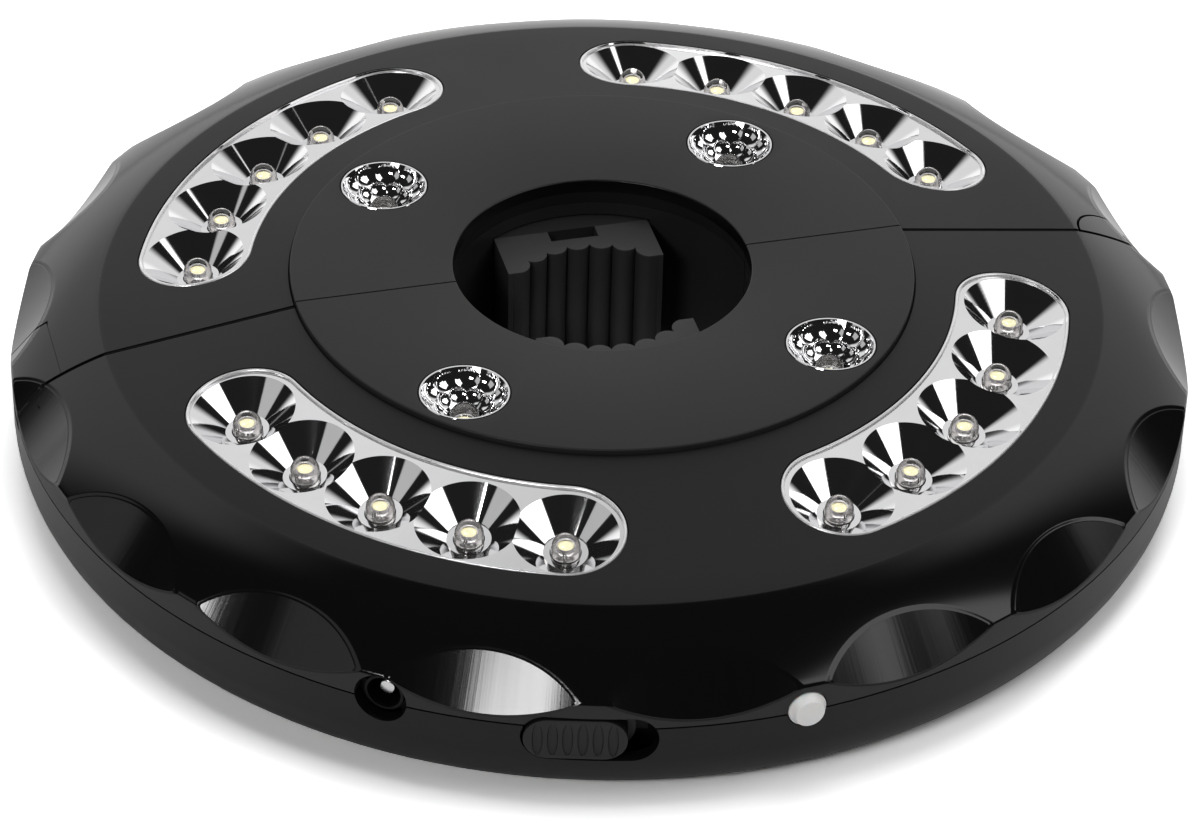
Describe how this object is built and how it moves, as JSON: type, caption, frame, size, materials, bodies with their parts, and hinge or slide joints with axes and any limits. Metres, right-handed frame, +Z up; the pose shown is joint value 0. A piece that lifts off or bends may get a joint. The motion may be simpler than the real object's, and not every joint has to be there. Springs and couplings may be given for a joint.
{
  "type": "patio umbrella light",
  "caption": "Round battery light for an umbrella pole: two hinged half shells with lamp trays, spot lamps, sprung pole jaws and rim controls.",
  "frame": {"origin": "centre of the flat bottom, on the axis of the pole opening", "axes": "+Z up out of the lamp face along the pole, +X towards the hinge along the split line, +Y towards the rear half; the switch, socket and button are on the -Y side"},
  "size_m": [0.2, 0.2014, 0.034],
  "materials": {
    "housing": "glossy black moulded shell with an upright satin rim",
    "satin_plate": "satin dark grey",
    "circuit_board": "green solder mask",
    "reflector": "bright vacuum metallised",
    "lamp_epoxy": "clear epoxy dome",
    "cell_sleeve": "plain sleeve",
    "steel": "plain zinc",
    "spring_steel": "bright wire",
    "switch_plastic": "satin dark grey",
    "socket_plastic": "black",
    "button_plastic": "light grey",
    "jaw_plastic": "satin black",
    "pad_rubber": "matt dark rubber"
  },
  "bodies": {
    "front_half": {"front_base": "housing", "front_cover": "housing", "front_centre_plate": "satin_plate", "front_battery_lid": "housing", "front_lamp_board": "circuit_board", "front_left_reflector": "reflector", "front_right_reflector": "reflector", "front_left_lamps": "lamp_epoxy", "front_right_lamps": "lamp_epoxy", "front_spot_reflectors": "reflector", "front_spot_lamps": "lamp_epoxy", "front_cells": "cell_sleeve", "front_cell_contacts": "spring_steel", "front_screws": "steel", "front_lid_screw": "steel", "hinge_pin": "steel", "control_board": "circuit_board", "slide_switch": "steel", "dc_socket": "socket_plastic", "dc_socket_pin": "steel", "tact_switch": "steel", "front_jaw_springs": "spring_steel"},
    "rear_half": {"rear_base": "housing", "rear_cover": "housing", "rear_centre_plate": "satin_plate", "rear_battery_lid": "housing", "rear_lamp_board": "circuit_board", "rear_left_reflector": "reflector", "rear_right_reflector": "reflector", "rear_left_lamps": "lamp_epoxy", "rear_right_lamps": "lamp_epoxy", "rear_spot_reflectors": "reflector", "rear_spot_lamps": "lamp_epoxy", "rear_cells": "cell_sleeve", "rear_cell_contacts": "spring_steel", "rear_screws": "steel", "rear_lid_screw": "steel", "rear_jaw_springs": "spring_steel"},
    "front_jaw": {"front_jaw": "jaw_plastic", "front_jaw_pad": "pad_rubber"},
    "rear_jaw": {"rear_jaw": "jaw_plastic", "rear_jaw_pad": "pad_rubber"},
    "switch_slider": {"switch_slider": "switch_plastic"},
    "mode_button": {"mode_button": "button_plastic"},
    "latch_tongue": {"latch_tongue": "housing"}
  },
  "joints": [
    {"name": "shell_hinge", "type": "hinge", "parent": "front_half", "child": "rear_half", "pos_m": [0.093, 0, 0.0106], "axis": [0, 0, -1], "range_deg": [0, 75]},
    {"name": "front_jaw_slide", "type": "slide", "parent": "front_half", "child": "front_jaw", "axis": [0, -1, 0], "range_m": [0, 0.009], "stiffness_N_per_m": 1500, "springref_m": -0.003, "deforming": ["front_jaw_springs"]},
    {"name": "rear_jaw_slide", "type": "slide", "parent": "rear_half", "child": "rear_jaw", "axis": [0, 1, 0], "range_m": [0, 0.009], "stiffness_N_per_m": 1500, "springref_m": -0.003, "deforming": ["rear_jaw_springs"]},
    {"name": "switch_slide", "type": "slide", "parent": "front_half", "child": "switch_slider", "axis": [0.965, -0.2622, 0], "range_m": [0, 0.0044]},
    {"name": "button_press", "type": "slide", "parent": "front_half", "child": "mode_button", "axis": [-0.0767, 0.9971, 0], "range_m": [0, 0.0012], "stiffness_N_per_m": 800, "springref_m": -0.0006},
    {"name": "latch_press", "type": "hinge", "parent": "rear_half", "child": "latch_tongue", "pos_m": [-0.0924, 0.0082, 0.02495], "axis": [0, -1, 0], "range_deg": [0, 10], "stiffness_Nm_per_rad": 0.3, "springref_deg": -2.86}
  ]
}
